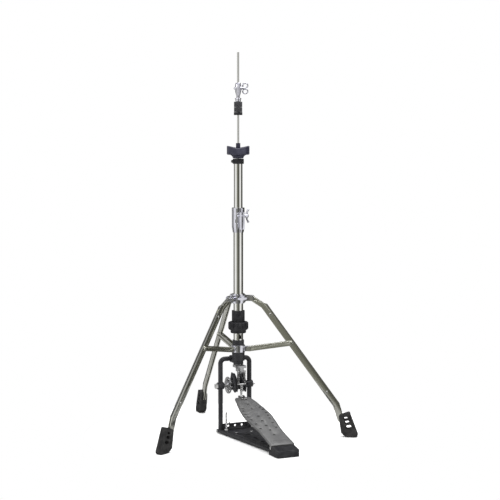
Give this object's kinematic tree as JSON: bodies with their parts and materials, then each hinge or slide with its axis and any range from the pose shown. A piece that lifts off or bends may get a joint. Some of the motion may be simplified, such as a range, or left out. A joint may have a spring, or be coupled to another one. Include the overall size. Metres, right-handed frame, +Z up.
{
  "type": "hi-hat stand",
  "caption": "Hi-hat stand: telescopic column with a cymbal seat and clutch, folding tripod, and a heel-hinged footboard that pulls the rod down by a chain.",
  "frame": {"origin": "on the floor, on the column's axis, at the underside of the base plate's front pad", "axes": "+Z up along the column, -Y towards the player's heel, X along the pedal's axle"},
  "size_m": [0.6214, 0.6945, 1.118],
  "materials": {
    "chrome_tube": "polished",
    "chrome_cast": "bright, softly rippled casting",
    "chrome_strip": "bright flat strip",
    "steel_fastener": "bright zinc",
    "black_enamel": "satin black powder coat",
    "black_nylon": "moulded nylon",
    "seat_plastic": "satin moulded plastic",
    "rubber": "matt",
    "felt": "pressed felt",
    "board_alloy": "satin cast alloy",
    "chain_steel": "oiled steel",
    "cam_zinc": "satin zinc"
  },
  "bodies": {
    "stand": {"lower_tube": "chrome_tube", "height_clamp": "chrome_cast", "clamp_bushing": "black_nylon", "tension_housing": "black_nylon", "stop_collar": "black_enamel", "frame_casting": "black_enamel", "frame_bars": "black_enamel", "bearing_housings": "black_enamel", "base_plate": "black_enamel", "toe_bracket": "black_enamel", "base_bolts": "steel_fastener", "base_pads": "rubber", "heel_block": "black_nylon", "hinge_bracket": "chain_steel", "hinge_pin": "steel_fastener", "spring_stop": "black_nylon"},
    "upper_column": {"upper_tube": "chrome_tube", "tube_guide": "black_nylon", "seat_neck": "black_nylon", "seat_screw": "steel_fastener"},
    "cymbal_seat": {"seat_cup": "seat_plastic", "seat_sleeve": "seat_plastic"},
    "pull_rod": {"upper_rod": "chrome_tube", "rod_coupling": "chrome_tube", "lower_rod": "chrome_tube", "spring_cap": "steel_fastener", "return_spring": "steel_fastener", "yoke": "cam_zinc", "yoke_pin": "steel_fastener"},
    "clutch": {"clutch_body": "chrome_cast", "clutch_stem": "chrome_cast", "clutch_collar": "chrome_cast", "clutch_felts": "felt"},
    "clutch_nut": {"bottom_nut": "black_nylon"},
    "clutch_screw": {"clutch_wing": "chrome_cast"},
    "clamp_screw": {"clamp_wing_bolt": "chrome_cast"},
    "tension_adjuster": {"tension_knob": "black_nylon"},
    "lower_spider": {"lower_hub": "chrome_cast", "brace_pins": "steel_fastener"},
    "upper_spider": {"upper_hub": "chrome_cast", "leg_pins": "steel_fastener"},
    "hub_screw": {"hub_bolt": "chrome_cast"},
    "right_leg": {"leg_right": "chrome_strip", "foot_right": "rubber"},
    "rear_leg": {"leg_rear": "chrome_strip", "foot_rear": "rubber"},
    "left_leg": {"leg_left": "chrome_strip", "foot_left": "rubber"},
    "right_brace": {"brace_right": "chrome_strip"},
    "rear_brace": {"brace_rear": "chrome_strip"},
    "left_brace": {"brace_left": "chrome_strip"},
    "pedal": {"footboard": "board_alloy", "chain_anchor": "chain_steel", "toe_pin": "steel_fastener"},
    "chain": {"drive_chain": "chain_steel", "cross_pin": "steel_fastener"},
    "cam": {"axle": "steel_fastener", "cam_wheel": "black_enamel", "cam_plate": "cam_zinc"}
  },
  "joints": [
    {"name": "pedal_press", "type": "hinge", "parent": "stand", "child": "pedal", "pos_m": [0, -0.294, 0.02], "axis": [-1, 0, 0], "range_deg": [0, 9.04], "stiffness_Nm_per_rad": 25, "springref_deg": -14.32},
    {"name": "rod_slide", "type": "slide", "parent": "stand", "child": "pull_rod", "axis": [0, 0, -1], "range_m": [0, 0.045], "deforming": ["return_spring"]},
    {"name": "chain_swing", "type": "hinge", "parent": "pull_rod", "child": "chain", "pos_m": [0, -0.0215, 0.1882], "axis": [1, 0, 0], "range_deg": [0, 8.5]},
    {"name": "cam_spin", "type": "hinge", "parent": "stand", "child": "cam", "pos_m": [0, 0.025, 0.141], "axis": [1, 0, 0], "range_deg": [0, 57.5]},
    {"name": "height_slide", "type": "slide", "parent": "stand", "child": "upper_column", "axis": [0, 0, 1], "range_m": [-0.115, 0.06]},
    {"name": "seat_tilt", "type": "hinge", "parent": "upper_column", "child": "cymbal_seat", "pos_m": [0, 0, 0.835], "axis": [1, 0, 0], "range_deg": [0, 5]},
    {"name": "clutch_slide", "type": "slide", "parent": "pull_rod", "child": "clutch", "axis": [0, 0, 1], "range_m": [-0.02, 0.06]},
    {"name": "clutch_nut_turn", "type": "hinge", "parent": "clutch", "child": "clutch_nut", "pos_m": [0, 0, 0.94], "axis": [0, 0, 1], "range_deg": [-180, 180]},
    {"name": "clutch_wing_turn", "type": "hinge", "parent": "clutch", "child": "clutch_screw", "pos_m": [0, 0, 1.014], "axis": [0.9135, -0.4067, 0], "range_deg": [-90, 90]},
    {"name": "clamp_bolt_turn", "type": "hinge", "parent": "stand", "child": "clamp_screw", "pos_m": [0, -0.0225, 0.645], "axis": [1, 0, 0], "range_deg": [-90, 90]},
    {"name": "tension_turn", "type": "hinge", "parent": "stand", "child": "tension_adjuster", "pos_m": [0, 0, 0.316], "axis": [0, 0, 1], "range_deg": [-180, 180]},
    {"name": "tripod_swivel", "type": "hinge", "parent": "stand", "child": "lower_spider", "pos_m": [0, 0, 0.2535], "axis": [0, 0, 1], "range_deg": [-28, 28]},
    {"name": "tripod_fold", "type": "slide", "parent": "lower_spider", "child": "upper_spider", "axis": [0, 0, -1], "range_m": [-0.1289, 0]},
    {"name": "hub_bolt_turn", "type": "hinge", "parent": "upper_spider", "child": "hub_screw", "pos_m": [0, -0.03, 0.4035], "axis": [0, -1, 0], "range_deg": [-90, 90]},
    {"name": "right_leg_fold", "type": "hinge", "parent": "upper_spider", "child": "right_leg", "pos_m": [0.03321, -0.02157, 0.4035], "axis": [0.5446, 0.8387, 0], "range_deg": [0, 25]},
    {"name": "right_brace_fold", "type": "hinge", "parent": "lower_spider", "child": "right_brace", "pos_m": [0.02768, -0.01797, 0.2535], "axis": [0.5446, 0.8387, 0], "range_deg": [-53.6, 0]},
    {"name": "rear_leg_fold", "type": "hinge", "parent": "upper_spider", "child": "rear_leg", "pos_m": [0.00207, 0.03955, 0.4035], "axis": [-0.9986, 0.0523, 0], "range_deg": [0, 25]},
    {"name": "rear_brace_fold", "type": "hinge", "parent": "lower_spider", "child": "rear_brace", "pos_m": [0.00173, 0.03295, 0.2535], "axis": [-0.9986, 0.0523, 0], "range_deg": [-53.6, 0]},
    {"name": "left_leg_fold", "type": "hinge", "parent": "upper_spider", "child": "left_leg", "pos_m": [-0.03528, -0.01798, 0.4035], "axis": [0.454, -0.891, 0], "range_deg": [0, 25]},
    {"name": "left_brace_fold", "type": "hinge", "parent": "lower_spider", "child": "left_brace", "pos_m": [-0.0294, -0.01498, 0.2535], "axis": [0.454, -0.891, 0], "range_deg": [-53.6, 0]}
  ],
  "couplings": [
    {"joint": "rod_slide", "follows": "pedal_press", "m_per_rad": 0.2839},
    {"joint": "chain_swing", "follows": "pedal_press", "ratio": 0.927},
    {"joint": "cam_spin", "follows": "pedal_press", "ratio": 6.31},
    {"joint": "right_leg_fold", "follows": "tripod_fold", "rad_per_m": -3.3755},
    {"joint": "right_brace_fold", "follows": "tripod_fold", "rad_per_m": 7.248},
    {"joint": "rear_leg_fold", "follows": "tripod_fold", "rad_per_m": -3.3755},
    {"joint": "rear_brace_fold", "follows": "tripod_fold", "rad_per_m": 7.248},
    {"joint": "left_leg_fold", "follows": "tripod_fold", "rad_per_m": -3.3755},
    {"joint": "left_brace_fold", "follows": "tripod_fold", "rad_per_m": 7.248}
  ]
}
